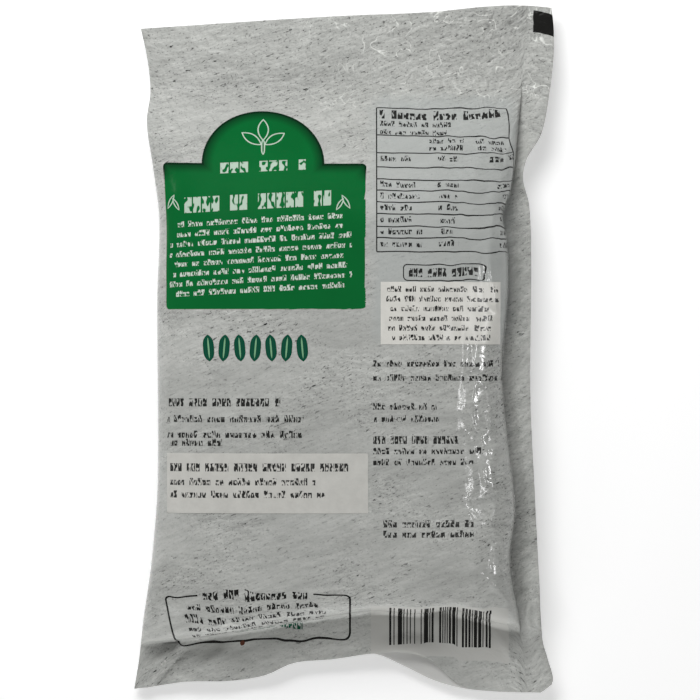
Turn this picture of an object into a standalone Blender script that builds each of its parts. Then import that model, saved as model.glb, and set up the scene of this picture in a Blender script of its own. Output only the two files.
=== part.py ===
"""A sealed film bag of frozen ivy gourds, lying on its printed front with its back up.

The bag is one printed web, folded once along the left side and welded along the top, the
bottom and the right side. Metres, +Z up, +Y towards the bag's top. The origin is on the
surface that the bag lies on, under the middle of its outline.
"""
import math
import random

import bmesh
import bpy

# Film and stickers. Real film is a tenth of a millimetre, so these are stand-in thicknesses.
FILM = 0.0006
LABEL = 0.0005
TOUCH_GAP = 0.0003
LABEL_GAP = 0.0005
SLIVER = 0.0005
LAYER = (FILM + TOUCH_GAP) / 2

# The filled body: its heights, and how square its shoulders are.
BODY_TOP = 0.0368
SEAM_HEIGHT = 0.0125
FLOOR_PRESS = 0.0020
LEFT_SQUARENESS = 2.8
RIGHT_SQUARENESS = 4.4
FLOOR_SQUARENESS = 5.0
FOOT_REACH = 0.040
FOOT_SQUARENESS = 3.4
HEAD_REACH = 0.066
HEAD_FULLNESS = 0.6

# The outline, as (y, x) down the sides and (x, y) along the ends.
LEFT_SIDE = [(-0.1380, -0.0842), (-0.1240, -0.0818), (-0.1080, -0.0800), (-0.0840, -0.0766),
             (-0.0520, -0.0742), (0.0200, -0.0744), (0.0520, -0.0736), (0.0720, -0.0760),
             (0.0910, -0.0786), (0.1030, -0.0772), (0.1160, -0.0784), (0.1290, -0.0812)]
RIGHT_SIDE = [(-0.1375, 0.0790), (-0.1335, 0.0838), (-0.1240, 0.0818), (-0.1160, 0.0796),
              (-0.0840, 0.0778), (-0.0520, 0.0762), (-0.0200, 0.0747), (0.0380, 0.0750),
              (0.0580, 0.0742), (0.0680, 0.0718), (0.0760, 0.0732), (0.0860, 0.0790),
              (0.1000, 0.0820), (0.1160, 0.0840), (0.1280, 0.0842), (0.1380, 0.0832)]
LEDGE = [(-0.1380, 0.0740), (-0.1080, 0.0702), (-0.0840, 0.0664), (-0.0640, 0.0684),
         (-0.0400, 0.0660), (-0.0080, 0.0632), (0.0240, 0.0656), (0.0440, 0.0652),
         (0.0540, 0.0636), (0.0640, 0.0668), (0.0900, 0.0700), (0.1380, 0.0740)]
TOP_END = [(-0.0842, 0.1278), (-0.0400, 0.1311), (0.0000, 0.1338), (0.0300, 0.1352),
           (0.0540, 0.1377), (0.0680, 0.1377), (0.0842, 0.1352)]
BOTTOM_END = [(-0.0842, -0.1375), (-0.0680, -0.1352), (-0.0560, -0.1332), (-0.0400, -0.1328),
              (-0.0280, -0.1306), (-0.0180, -0.1256), (-0.0040, -0.1242), (0.0110, -0.1218),
              (0.0220, -0.1268), (0.0340, -0.1332), (0.0480, -0.1366), (0.0842, -0.1377)]
BACK_BOTTOM_END = [(-0.0842, -0.1375), (-0.0680, -0.1352), (-0.0560, -0.1332),
                   (-0.0400, -0.1328), (-0.0280, -0.1306), (-0.0180, -0.1256),
                   (-0.0040, -0.1242), (0.0110, -0.1218), (0.0250, -0.1216),
                   (0.0340, -0.1262), (0.0400, -0.1330), (0.0480, -0.1366), (0.0842, -0.1377)]

# Where the filling ends, as (x, y), and how the seam surface falls towards both ends.
FILL_FOOT = [(-0.0842, -0.1180), (-0.0560, -0.1150), (-0.0180, -0.1085), (0.0110, -0.1045),
             (0.0300, -0.1056), (0.0450, -0.1044), (0.0580, -0.1088), (0.0700, -0.1108),
             (0.0842, -0.1112)]
FILL_HEAD = [(-0.0842, 0.1050), (0.0000, 0.1065), (0.0842, 0.1080)]
SEAM_PROFILE = [(-0.1380, 0.0042), (-0.1220, 0.0076), (-0.1040, 0.0112), (-0.0700, SEAM_HEIGHT),
                (0.0500, SEAM_HEIGHT), (0.0900, 0.0108), (0.1100, 0.0086), (0.1380, 0.0062)]
LIP_CURL = 0.0034
LIP_CURL_PLACE = 0.0265
LIP_CURL_WIDTH = 0.0130
LIP_CURL_START = -0.1130
FLANGE_LIFT = 0.0022

# The web's grid: columns of one layer outwards from the fold, and rows from the bottom up.
FOLD_COLUMNS = 2
BODY_COLUMNS = 24
FLANGE_COLUMNS = 4
LAYER_COLUMNS = FOLD_COLUMNS + BODY_COLUMNS + FLANGE_COLUMNS
LIP_ROWS = 4
FOOT_ROWS = 8
MIDDLE_ROWS = 13
HEAD_ROWS = 6
HEADER_ROWS = 4
MIDDLE_START = -0.078
MIDDLE_END = 0.052
WALL_CROWDING = 1.5

# Stickers on the back: left, right, bottom and top.
IMPORTER_LABEL = (0.0140, 0.0605, 0.0020, 0.0268)
COOKING_LABEL = (-0.0700, 0.0098, -0.0650, -0.0412)

# The gourds inside: three rows of them lie along the bag, in two nested layers, and one row
# lies across it near the head.
GOURD_LENGTH = 0.0515
GOURD_DIAMETER = 0.0174
GOURD_PITCH = 0.0186
GOURD_ROW_PITCH = 0.0548
GOURD_ROWS = 3
FIRST_ROW = -0.0690
LOWER_COLUMNS = 7
UPPER_COLUMNS = 5
UPPER_SHIFT = 0.5
CROSSWISE_PLACES = [-0.0310, 0.0240]
CROSSWISE_ROW = 0.0775
CROSSWISE_HEIGHT = 0.0134
GOURD_SIDES = 10
GOURD_RINGS = 8
STALK_RADIUS = 0.0016
STALK_LENGTH = 0.0022
GOURD_BOW = 0.0003
GOURD_TILT = math.radians(1.0)
SEED = 11

FILM_COLOUR = (0.42, 0.43, 0.40, 1.0)
PAPER_COLOUR = (0.62, 0.60, 0.54, 1.0)
GOURD_COLOUR = (0.10, 0.25, 0.06, 1.0)


def curve_at(points, place):
    """Height of a smooth curve through (place, height) points, level beyond its ends."""
    if place <= points[0][0]:
        return points[0][1]
    if place >= points[-1][0]:
        return points[-1][1]
    last = len(points) - 1
    k = max(i for i in range(last) if points[i][0] <= place)

    def slope(i):
        low, high = points[max(i - 1, 0)], points[min(i + 1, last)]
        return (high[1] - low[1]) / (high[0] - low[0])

    (x0, y0), (x1, y1) = points[k], points[k + 1]
    span = x1 - x0
    t = (place - x0) / span
    return (y0 * (1 + 2 * t) * (1 - t) ** 2 + y1 * t * t * (3 - 2 * t)
            + slope(k) * span * t * (1 - t) ** 2 - slope(k + 1) * span * t * t * (1 - t))


def shoulder(distance, reach, squareness):
    """Share of full height at a distance in from an edge: a superellipse quarter."""
    if distance <= 0:
        return 0.0
    if distance >= reach:
        return 1.0
    return (1 - (1 - distance / reach) ** squareness) ** (1 / squareness)


def across(x, y, left_power, right_power):
    """Share of full height across the body, from the left fold to the ledge."""
    left, ledge = curve_at(LEFT_SIDE, y), curve_at(LEDGE, y)
    half = (ledge - left) / 2
    return min(shoulder(x - left, half, left_power), shoulder(ledge - x, half, right_power))


def along(x, y):
    """Share of full height along the body, from its foot to its head."""
    foot = shoulder(y - curve_at(FILL_FOOT, x), FOOT_REACH, FOOT_SQUARENESS)
    head = smooth_step((curve_at(FILL_HEAD, x) - y) / HEAD_REACH) ** HEAD_FULLNESS
    return min(foot, head)


def smooth_step(t):
    t = min(max(t, 0.0), 1.0)
    return t * t * (3 - 2 * t)


def seam(x, y):
    """Height of the surface in which the two layers meet."""
    ledge, right = curve_at(LEDGE, y), curve_at(RIGHT_SIDE, y)
    return curve_at(SEAM_PROFILE, y) + FLANGE_LIFT * smooth_step((x - ledge) / (right - ledge))


def lip_curl(x, y):
    """How far the back layer's loose lip stands off the front layer's."""
    down = smooth_step((LIP_CURL_START - y) / (LIP_CURL_START - BACK_BOTTOM_END[8][1]))
    return LIP_CURL * down * math.exp(-((x - LIP_CURL_PLACE) / LIP_CURL_WIDTH) ** 2)


def back_rise(x, y):
    """Height of the back layer above the seam surface."""
    bulge = (BODY_TOP - FILM / 2 - SEAM_HEIGHT - LAYER) * along(x, y)
    return bulge * across(x, y, LEFT_SQUARENESS, RIGHT_SQUARENESS) + lip_curl(x, y)


def front_drop(x, y):
    """Depth of the front layer below the seam surface, before the floor stops it."""
    press = (SEAM_HEIGHT + FLOOR_PRESS) * along(x, y)
    return press * across(x, y, FLOOR_SQUARENESS, FLOOR_SQUARENESS)


def column_place(column, left, ledge, right):
    """x of a column, and its share of the layer's distance from the seam surface."""
    if column <= FOLD_COLUMNS:
        turn = math.pi / 2 * column / FOLD_COLUMNS
        return left + LAYER * (1 - math.cos(turn)), math.sin(turn)
    start = left + LAYER
    step = column - FOLD_COLUMNS
    if step <= BODY_COLUMNS:
        middle, half = (start + ledge) / 2, (ledge - start) / 2
        turn = math.pi * step / BODY_COLUMNS
        side = math.copysign(abs(math.cos(turn)) ** 0.75, math.cos(turn))
        return middle - half * side, 1.0
    return ledge + (right - ledge) * (step - BODY_COLUMNS) / FLANGE_COLUMNS, 1.0


def row_places(x, bottom_end):
    """y of each row at x, from the bag's bottom end up. One row runs along the foot of the
    filling, and one along its head."""
    foot, head = curve_at(FILL_FOOT, x), curve_at(FILL_HEAD, x)
    bottom, top = curve_at(bottom_end, x), curve_at(TOP_END, x)
    lip = [bottom + (foot - bottom) * k / LIP_ROWS for k in range(LIP_ROWS)]
    wall = [foot + (MIDDLE_START - foot) * (k / FOOT_ROWS) ** WALL_CROWDING
            for k in range(FOOT_ROWS)]
    middle = [MIDDLE_START + (MIDDLE_END - MIDDLE_START) * k / MIDDLE_ROWS
              for k in range(MIDDLE_ROWS)]
    slope = [MIDDLE_END + (head - MIDDLE_END) * k / HEAD_ROWS for k in range(HEAD_ROWS)]
    header = [head + (top - head) * k / HEADER_ROWS for k in range(HEADER_ROWS + 1)]
    return lip + wall + middle + slope + header


def web_point(column, row):
    """Place of a web vertex. Columns run from the front's right edge, over the fold, to the
    back's right edge."""
    outwards = column - LAYER_COLUMNS
    is_back = outwards > 0
    bottom_end = BACK_BOTTOM_END if is_back else BOTTOM_END
    rough_x, _ = column_place(abs(outwards), LEFT_SIDE[4][1], LEDGE[4][1], RIGHT_SIDE[6][1])
    y = row_places(rough_x, bottom_end)[row]
    x, share = column_place(abs(outwards), curve_at(LEFT_SIDE, y), curve_at(LEDGE, y),
                            curve_at(RIGHT_SIDE, y))
    if is_back:
        z = seam(x, y) + LAYER * share + back_rise(x, y)
    else:
        z = max(seam(x, y) - LAYER * share - front_drop(x, y), FILM / 2)
    return x, y, z


def material(name, colour, roughness):
    made = bpy.data.materials.new(name)
    made.use_nodes = True
    shader = made.node_tree.nodes["Principled BSDF"]
    shader.inputs["Base Color"].default_value = colour
    shader.inputs["Roughness"].default_value = roughness
    return made


def add_object(name, bm, finish):
    mesh = bpy.data.meshes.new(name)
    bm.to_mesh(mesh)
    bm.free()
    mesh.materials.append(finish)
    mesh.shade_smooth()
    made = bpy.data.objects.new(name, mesh)
    bag.objects.link(made)
    return made


def thicken(obj, thickness):
    shell = obj.modifiers.new("Thickness", "SOLIDIFY")
    shell.thickness = thickness
    shell.offset = 0.0
    shell.use_even_offset = True
    return shell


def grid(columns, rows):
    """A flat grid whose vertices come with their column and row numbers."""
    bm = bmesh.new()
    bmesh.ops.create_grid(bm, x_segments=columns, y_segments=rows, size=1)
    numbered = [(v, round((v.co.x + 1) / 2 * columns), round((v.co.y + 1) / 2 * rows))
                for v in bm.verts]
    return bm, numbered


def make_film(finish):
    """Make the film web, and return its middle surface for the stickers to follow."""
    rows = LIP_ROWS + FOOT_ROWS + MIDDLE_ROWS + HEAD_ROWS + HEADER_ROWS
    sheet = bmesh.new()
    bmesh.ops.create_grid(sheet, x_segments=2 * LAYER_COLUMNS, y_segments=rows, size=1)
    for vert in sheet.verts:
        column = round((vert.co.x + 1) * LAYER_COLUMNS)
        row = round((vert.co.y + 1) / 2 * rows)
        vert.co = web_point(column, row)
    sheet.normal_update()
    thicken(add_object("film_bag", sheet.copy(), finish), FILM)
    return sheet


def make_label(name, sides, sheet, lift, finish):
    """A sticker cut out of the back's own surface, and lifted off the film's middle."""
    left, right, bottom, top = sides
    patch = sheet.copy()
    front = [face for face in patch.faces if face.normal.z < 0]
    bmesh.ops.delete(patch, geom=front, context="FACES")
    cuts = [((left, 0, 0), (-1, 0, 0)), ((right, 0, 0), (1, 0, 0)),
            ((0, bottom, 0), (0, -1, 0)), ((0, top, 0), (0, 1, 0))]
    for place, outwards in cuts:
        everything = patch.verts[:] + patch.edges[:] + patch.faces[:]
        bmesh.ops.bisect_plane(patch, geom=everything, plane_co=place, plane_no=outwards,
                               clear_outer=True)
    bmesh.ops.remove_doubles(patch, verts=patch.verts, dist=SLIVER)
    patch.normal_update()
    for vert in patch.verts:
        vert.co += vert.normal * lift
    thicken(add_object(name, patch, finish), LABEL)


def gourd_radius(t):
    """Radius at t, from -1 at the flower end to 1 at the stalk end, as a share of the widest."""
    return (1 - abs(t) ** 2.5) ** 0.55 * (1 - 0.10 * t)


def make_gourd(name, place, turn, draw, finish):
    """One ivy gourd: a slightly bowed spindle with a stub of stalk, along its own Y."""
    length = GOURD_LENGTH * draw.uniform(0.92, 0.99)
    diameter = GOURD_DIAMETER * draw.uniform(0.97, 1.0)
    bow = draw.uniform(-GOURD_BOW, GOURD_BOW)
    bm = bmesh.new()
    bmesh.ops.create_uvsphere(bm, u_segments=GOURD_SIDES, v_segments=GOURD_RINGS, radius=1)
    for vert in bm.verts:
        angle = math.atan2(vert.co.y, vert.co.x)
        height = vert.co.z
        radius = gourd_radius(height) * diameter / 2 if abs(height) < 0.999 else 0.0
        lengthwise = height * length / 2
        if height > 0.999:
            lengthwise += STALK_LENGTH
        elif height > 0.90:
            radius = STALK_RADIUS
            lengthwise = length / 2 - STALK_LENGTH / 2
        vert.co = (radius * math.cos(angle) + bow * (1 - height * height), -lengthwise,
                   radius * math.sin(angle))
    bmesh.ops.recalc_face_normals(bm, faces=bm.faces)
    gourd = add_object(name, bm, finish)
    gourd.location = place
    gourd.rotation_euler = (0, 0, turn)


def make_gourds(finish):
    draw = random.Random(SEED)
    middle = (LEFT_SIDE[4][1] + LEDGE[4][1]) / 2
    lower_z = FILM + LABEL_GAP + TOUCH_GAP + GOURD_DIAMETER / 2
    upper_z = lower_z + GOURD_PITCH * math.sqrt(3) / 2
    layers = [(LOWER_COLUMNS, 0.0, lower_z), (UPPER_COLUMNS, UPPER_SHIFT, upper_z)]
    places = []
    for row in range(GOURD_ROWS):
        y = FIRST_ROW + row * GOURD_ROW_PITCH
        for count, shift, z in layers:
            places += [(middle + (column - (count - 1) / 2 + shift) * GOURD_PITCH, y, z, 0.0)
                       for column in range(count)]
    places += [(x, CROSSWISE_ROW, CROSSWISE_HEIGHT, math.pi / 2) for x in CROSSWISE_PLACES]
    for number, (x, y, z, heading) in enumerate(places, start=1):
        turn = heading + math.pi * draw.randrange(2) + draw.uniform(-GOURD_TILT, GOURD_TILT)
        make_gourd(f"ivy_gourd_{number:02d}", (x, y, z), turn, draw, finish)


for old in list(bpy.data.objects):
    bpy.data.objects.remove(old)
bag = bpy.data.collections.new("frozen_gourd_bag")
bpy.context.scene.collection.children.link(bag)

film_sheet = make_film(material("printed film", FILM_COLOUR, 0.32))
label_paper = material("label paper", PAPER_COLOUR, 0.60)
lift_on_film = FILM / 2 + LABEL_GAP + LABEL / 2
make_label("cooking_label", COOKING_LABEL, film_sheet, lift_on_film, label_paper)
make_label("importer_label", IMPORTER_LABEL, film_sheet, lift_on_film, label_paper)
make_gourds(material("gourd skin", GOURD_COLOUR, 0.45))
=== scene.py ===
"""The looks of a sealed film bag of frozen gourds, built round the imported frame.

The printed film is one fine web, folded once on the left. Its print is drawn by shader nodes in
the flat web's own millimetres, so that it bends and creases with the film.
"""
import math

import bmesh
import bpy
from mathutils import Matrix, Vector, noise


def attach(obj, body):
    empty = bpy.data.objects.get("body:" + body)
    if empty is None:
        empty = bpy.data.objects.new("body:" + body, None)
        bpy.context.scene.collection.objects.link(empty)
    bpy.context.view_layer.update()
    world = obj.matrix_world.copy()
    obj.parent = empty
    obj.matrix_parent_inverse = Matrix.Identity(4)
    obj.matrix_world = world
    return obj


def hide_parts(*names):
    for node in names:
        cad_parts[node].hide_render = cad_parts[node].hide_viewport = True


FILM = 0.00026
LABEL = 0.00012
LABEL_LIFT = 0.00022
LAYER = 0.0002
BODY_TOP = 0.0368
SEAM_HEIGHT = 0.0125
FLOOR_PRESS = 0.0020
LEFT_SQUARENESS = 2.8
RIGHT_SQUARENESS = 4.4
FLOOR_SQUARENESS = 5.0
FOOT_REACH = 0.040
FOOT_SQUARENESS = 3.4
HEAD_REACH = 0.066
HEAD_FULLNESS = 0.6

# The outline, as (y, x) down the sides and (x, y) along the ends.
LEFT_SIDE = [(-0.1380, -0.0842), (-0.1240, -0.0818), (-0.1080, -0.0800), (-0.0840, -0.0766),
             (-0.0520, -0.0742), (0.0200, -0.0744), (0.0520, -0.0736), (0.0720, -0.0760),
             (0.0910, -0.0786), (0.1030, -0.0772), (0.1160, -0.0784), (0.1290, -0.0812)]
RIGHT_SIDE = [(-0.1375, 0.0790), (-0.1335, 0.0838), (-0.1240, 0.0818), (-0.1160, 0.0796),
              (-0.0840, 0.0778), (-0.0520, 0.0762), (-0.0200, 0.0747), (0.0380, 0.0750),
              (0.0580, 0.0742), (0.0680, 0.0718), (0.0760, 0.0732), (0.0860, 0.0790),
              (0.1000, 0.0820), (0.1160, 0.0840), (0.1280, 0.0842), (0.1380, 0.0832)]
LEDGE = [(-0.1380, 0.0740), (-0.1080, 0.0702), (-0.0840, 0.0664), (-0.0640, 0.0684),
         (-0.0400, 0.0660), (-0.0080, 0.0632), (0.0240, 0.0656), (0.0440, 0.0652),
         (0.0540, 0.0636), (0.0640, 0.0668), (0.0900, 0.0700), (0.1380, 0.0740)]
TOP_END = [(-0.0842, 0.1278), (-0.0400, 0.1311), (0.0000, 0.1338), (0.0300, 0.1352),
           (0.0540, 0.1377), (0.0680, 0.1377), (0.0842, 0.1352)]
BOTTOM_END = [(-0.0842, -0.1375), (-0.0680, -0.1352), (-0.0560, -0.1332), (-0.0400, -0.1328),
              (-0.0280, -0.1306), (-0.0180, -0.1256), (-0.0040, -0.1242), (0.0110, -0.1218),
              (0.0220, -0.1268), (0.0340, -0.1332), (0.0480, -0.1366), (0.0842, -0.1377)]
LIP_CURL_END = -0.1216
BACK_BOTTOM_END = (BOTTOM_END[:8] + [(0.0250, LIP_CURL_END), (0.0340, -0.1262), (0.0400, -0.1330)]
                   + BOTTOM_END[-2:])

# x of the left fold, the ledge and the right edge, halfway along the bag.
NOMINAL_EDGES = (-0.0742, 0.0660, 0.0747)

# Where the filling ends, as (x, y), and how the seam surface falls towards both ends.
FILL_FOOT = [(-0.0842, -0.1180), (-0.0560, -0.1150), (-0.0180, -0.1085), (0.0110, -0.1045),
             (0.0300, -0.1056), (0.0450, -0.1044), (0.0580, -0.1088), (0.0700, -0.1108),
             (0.0842, -0.1112)]
FILL_HEAD = [(-0.0842, 0.1050), (0.0000, 0.1065), (0.0842, 0.1080)]
SEAM_PROFILE = [(-0.1380, 0.0042), (-0.1220, 0.0076), (-0.1040, 0.0112), (-0.0700, SEAM_HEIGHT),
                (0.0500, SEAM_HEIGHT), (0.0900, 0.0108), (0.1100, 0.0086), (0.1380, 0.0062)]
LIP_CURL = 0.0034
LIP_CURL_PLACE = 0.0265
LIP_CURL_WIDTH = 0.0130
LIP_CURL_START = -0.1130
FLANGE_LIFT = 0.0022

# The web's grid, how its rows and columns crowd at the edges, and the stretch in x that the flat
# web measures straight across.
FOLD_COLUMNS = 4
BODY_COLUMNS = 92
FLANGE_COLUMNS = 14
LAYER_COLUMNS = FOLD_COLUMNS + BODY_COLUMNS + FLANGE_COLUMNS
LIP_ROWS = 16
FOOT_ROWS = 36
MIDDLE_ROWS = 104
HEAD_ROWS = 36
HEADER_ROWS = 22
MIDDLE_START = -0.078
MIDDLE_END = 0.052
WALL_CROWDING = 1.5
SIDE_CROWDING = 0.75
FLAT_MIDDLE = (-0.058, 0.056)
ROWS = LIP_ROWS + FOOT_ROWS + MIDDLE_ROWS + HEAD_ROWS + HEADER_ROWS
FLAT_WEB = "Flat web"
UV_PER_METRE = 10

# Noise on the film, as height, feature sizes across and along, and seed.
SEAL_HILLS = [(0.0022, 0.034, 0.050, 3.1), (0.0010, 0.014, 0.022, 5.7)]
SKIN_HILLS = [(0.0011, 0.040, 0.062, 1.7), (0.0005, 0.018, 0.040, 9.2)]

# Where the welded ends begin and the length over which their relief grows, how fast it grows on
# the body, the groove beside the ledge, and how wide the body's crumpled borders are.
HEADER_START, HEADER_GROWTH = 0.090, 0.030
LIP_START, LIP_GROWTH = -0.106, 0.020
FLANGE_GROWTH = 0.008
RELIEF_GROWTH = 3
GROOVE_DEPTH, GROOVE_PLACE, GROOVE_WIDTH = 0.0012, 0.0022, 0.0015
RIGHT_BORDER, LEFT_BORDER = 0.034, 0.020
FOOT_BORDER, HEAD_BORDER = 0.030, 0.040
SEAL_CREASE_DEGREES, SKIN_CREASE_DEGREES = 35, 12
FOLD_END, FOLD_TIP = 0.35, 0.4
FLOOR_GAP = 0.00002

# Folds, as start x, y, end x, y, width and height. A groove's height is negative.
SEAL_FOLDS = [
    (-0.0160, 0.1330, -0.0125, 0.1190, 0.0022, 0.0012),
    (-0.0065, 0.1330, -0.0040, 0.1120, 0.0026, 0.0013),
    (-0.0655, -0.1175, -0.0800, -0.1350, 0.0018, 0.0042),
    (-0.0630, -0.1200, -0.0760, -0.1355, 0.0016, -0.0026),
    (-0.0560, -0.1270, -0.0460, -0.1190, 0.0020, 0.0016),
    (0.0100, 0.1260, 0.0420, 0.1130, 0.0016, 0.0010),
    (0.0480, 0.1290, 0.0700, 0.1080, 0.0018, 0.0012),
    (0.0600, 0.1340, 0.0790, 0.1230, 0.0016, -0.0010),
    (0.0280, 0.1190, 0.0620, 0.1040, 0.0014, -0.0009),
    (0.0690, -0.0990, 0.0830, -0.0878, 0.0055, 0.0040),
]
SKIN_FOLDS = [
    (-0.0242, -0.0768, -0.0238, -0.1060, 0.0010, -0.0007),
    (0.0700, 0.0680, 0.0560, 0.0820, 0.0020, 0.0016),
    (0.0700, -0.1040, 0.0560, -0.0900, 0.0022, 0.0018),
    (0.0522, -0.0106, 0.0577, -0.0158, 0.0009, 0.0009),
    (0.0577, -0.0158, 0.0584, -0.0313, 0.0009, 0.0012),
    (0.0584, -0.0313, 0.0548, -0.0348, 0.0009, 0.0009),
    (0.0514, -0.0296, 0.0505, -0.0209, 0.0009, 0.0010),
    (0.0505, -0.0209, 0.0522, -0.0106, 0.0009, 0.0010),
    (0.0548, -0.0348, 0.0514, -0.0296, 0.0009, 0.0007),
    (0.0548, -0.0348, 0.0567, -0.0425, 0.0009, 0.0010),
    (0.0567, -0.0425, 0.0556, -0.0503, 0.0009, 0.0010),
    (0.0556, -0.0503, 0.0577, -0.0540, 0.0009, 0.0007),
    (0.0553, -0.0624, 0.0608, -0.0633, 0.0009, 0.0008),
    (0.0608, -0.0633, 0.0582, -0.0702, 0.0009, 0.0010),
    (0.0582, -0.0702, 0.0608, -0.0745, 0.0009, 0.0009),
    (0.0620, 0.0300, 0.0600, 0.0130, 0.0010, 0.0006),
]

# Print colours, as linear light.
PLASTER_COLOUR = (0.452, 0.459, 0.438)
WASH_COLOUR = (0.425, 0.445, 0.432, 1.0)
GREEN = (0.0006, 0.126, 0.026)
DEEP_GREEN = (0.001, 0.046, 0.012, 1.0)
PALE_GREEN = (0.20, 0.42, 0.24, 1.0)
DARK_EDGE = (0.001, 0.022, 0.007, 1.0)
PALE_PRINT = (0.46, 0.58, 0.48, 1.0)
WHITE_PRINT = (0.60, 0.66, 0.60, 1.0)
TEAL = (0.004, 0.070, 0.038, 1.0)
INK = (0.012, 0.012, 0.011, 1.0)
CODE_WHITE = (0.50, 0.50, 0.475, 1.0)
SPECK_COLOUR = (0.10, 0.035, 0.02, 1.0)
INSIDE_COLOUR = (0.62, 0.62, 0.60)
IMPORTER_COLOUR = (0.70, 0.69, 0.645)
COOKING_COLOUR = (0.575, 0.57, 0.535)
SKIN_GREEN = (0.06, 0.20, 0.035, 1.0)
STRIPE_GREEN = (0.30, 0.46, 0.18, 1.0)
FLOOR_WHITE = (1.0, 1.0, 1.0)
INK_COVER = 0.97
WASH_COVER = 0.72

# The print's grain, as degrees, two feature sizes in millimetres, detail and roughness.
ROUGH_GRAIN = (6, 46.0, 30.0, 3.0, 0.6)
BROAD_GRAIN = (8, 70.0, 20.0, 4.0, 0.6)
STROKE_GRAIN = (20, 13.0, 3.4, 5.0, 0.66)
STEEP_GRAIN = (50, 9.0, 1.9, 4.0, 0.62)
LIT_GRAIN = (22, 5.6, 2.7, 4.0, 0.68)
LIT_SHIFT = (0.40, 0.55)
PIT_GRAIN = (24, 3.6, 1.25, 3.0, 0.62)
DOT_GRAIN = (40, 1.0, 0.75, 1.0)
SCUFF_GRAIN = (24, 7.5, 1.2, 3.0, 0.6)
BRUSH_GRAIN = (4, 5.0, 0.55, 3.0)
CRINKLE_GRAIN = (60, 7.0, 3.4, 1.0)
SMOOTH_SHARE = 0.34
BRUSH_DEPTH = 1.9
CRINKLE_HEIGHT = 0.0007
BODY_CRINKLE = 0.08
SHOULDER_CRINKLE = 0.13

# How meaningless marks are made up, in cells of one letter or as shares of a mark.
CELLS_IN_RUN = 6.0
MARK_WIDTH = 0.84
TALL_MARKS = 0.34
LOW_MARK_DROP = 0.28
BOLD_STROKES, FINE_STROKES = 2.5, 3.3
BOLD_STEMS = 0.035
STEM_RAMP = (0.42, 0.49)

# Where the back's right print ends and its left print ends, in metres of the flat web.
PRINT_BORDERS = [0.0099, -0.0840]

# The print's layout, in millimetres of the flat web. A panel is its left, right, bottom and
# shoulder, and its arch's centre and radius. A box is its left, right, bottom and top, and its
# corner's radius where it is round. A leaf or gourd is its centre, degrees, half length, half
# width and power. A block of marks is its left, top, width, row pitch, rows, height, letter
# width, raggedness, share of centring and seed.
BACK_PANEL = (-72.3, 8.8, 16.0, 75.0, -32.0, 24.0)
FRONT_PANEL = (-226.0, -116.0, -60.0, 62.0, -171.0, 38.0)
PANEL_CORNER = 1.6
PANEL_LINE = 0.45
WORD_SLOPE = 0.055
MOTIF_LEAVES = [(-32.0, 90.5, 90.0, 5.2, 2.3, 2.0), (-36.6, 86.4, 145.0, 5.0, 2.1, 2.0),
                (-27.4, 86.4, 35.0, 5.0, 2.1, 2.0), (-32.0, 82.6, 90.0, 3.6, 0.8, 4.0),
                (-69.5, 59.0, 60.0, 3.4, 1.0, 2.0), (-67.2, 58.0, 120.0, 3.0, 0.9, 2.0),
                (1.0, 59.0, 120.0, 3.4, 1.0, 2.0), (-1.4, 58.0, 60.0, 3.0, 0.9, 2.0)]
PANEL_HEADLINES = [
    (-49.0, 76.4, 34.0, 6.0, 1.0, 4.6, 3.9, 0.0, 0.0, 3.0),
    (-63.5, 62.4, 59.0, 8.0, 1.0, 6.4, 3.7, 0.0, 0.0, 5.0),
]
PANEL_WORDS = [(-71.0, 52.8, 75.0, 3.95, 8.0, 2.3, 1.55, 0.12, 1.0, 11.0)]
GOURD_ROW = [(-53.5 + 6.2 * k, 0.6, 90.0 + 5 * (-1) ** k) for k in range(7)]
PRINTED_GOURDS = [(*place, 5.4, 2.2, 3.6) for place in GOURD_ROW]
PRINTED_STRIPES = [(*place, 4.2, 0.32, 4.0) for place in GOURD_ROW]
SPECK = (-40.5, -133.4, 70.0, 1.2, 0.95, 2.6)
LEFT_WORDS = [
    (-71.0, -19.4, 46.0, 6.0, 1.0, 3.2, 1.9, 0.0, 0.0, 21.0),
    (-72.0, -26.0, 61.0, 6.2, 2.0, 2.9, 1.8, 0.08, 0.0, 23.0),
    (-70.0, -35.4, 22.0, 6.0, 1.0, 2.9, 1.8, 0.001, 0.0, 25.0),
]
RIGHT_WORDS = [
    (11.8, -4.2, 53.0, 5.6, 2.0, 2.6, 1.65, 0.25, 0.0, 31.0),
    (11.8, -21.2, 30.0, 4.9, 2.0, 2.7, 1.65, 0.2, 0.0, 33.0),
    (11.8, -34.4, 34.0, 6.0, 1.0, 3.1, 1.7, 0.0, 0.0, 35.0),
    (11.8, -39.0, 43.0, 4.4, 2.0, 2.6, 1.65, 0.1, 0.0, 37.0),
]
RANGE_WORDS = [
    (-56.0, -96.4, 42.0, 6.0, 1.0, 3.4, 2.1, 0.0, 0.0, 27.0),
    (-66.0, -101.6, 60.0, 5.2, 4.0, 3.3, 1.9, 0.10, 1.0, 29.0),
]
GREEN_WORDS = [(-46.0, -123.4, 29.0, 6.0, 1.0, 3.4, 1.9, 0.0, 0.0, 41.0)]
DOTTED_WORDS = [(15.8, -67.8, 37.0, 4.1, 2.0, 2.9, 1.9, 0.001, 0.0, 43.0)]
RANGE_FRAME = (-72.0, 2.6, -132.0, -97.6, 2.6)
RANGE_GAP = (-58.0, -12.0, -102.0, -94.0)
RANGE_LINE = 0.42
RANGE_PULL = 0.20
RANGE_RIPPLE = 7.0
ORIGIN_BADGE = (23.8, 53.6, 27.4, 33.6, 1.6)
BADGE_LINE = 0.22
DOTS_IN_MM = 2.1
DOT_WIDTH = 0.96
CODE_BOX = (11.0, 66.5, -139.5, -105.0)
CODE_BARS = (17.8, 60.0, -134.0, -106.4)
BARS_IN_MM = 2.3
BAR_SEED = 4.0
BAR_GAPS = 0.46
EYE_MARK = (76.4, 90.0, 128.6, 137.4)

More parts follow.
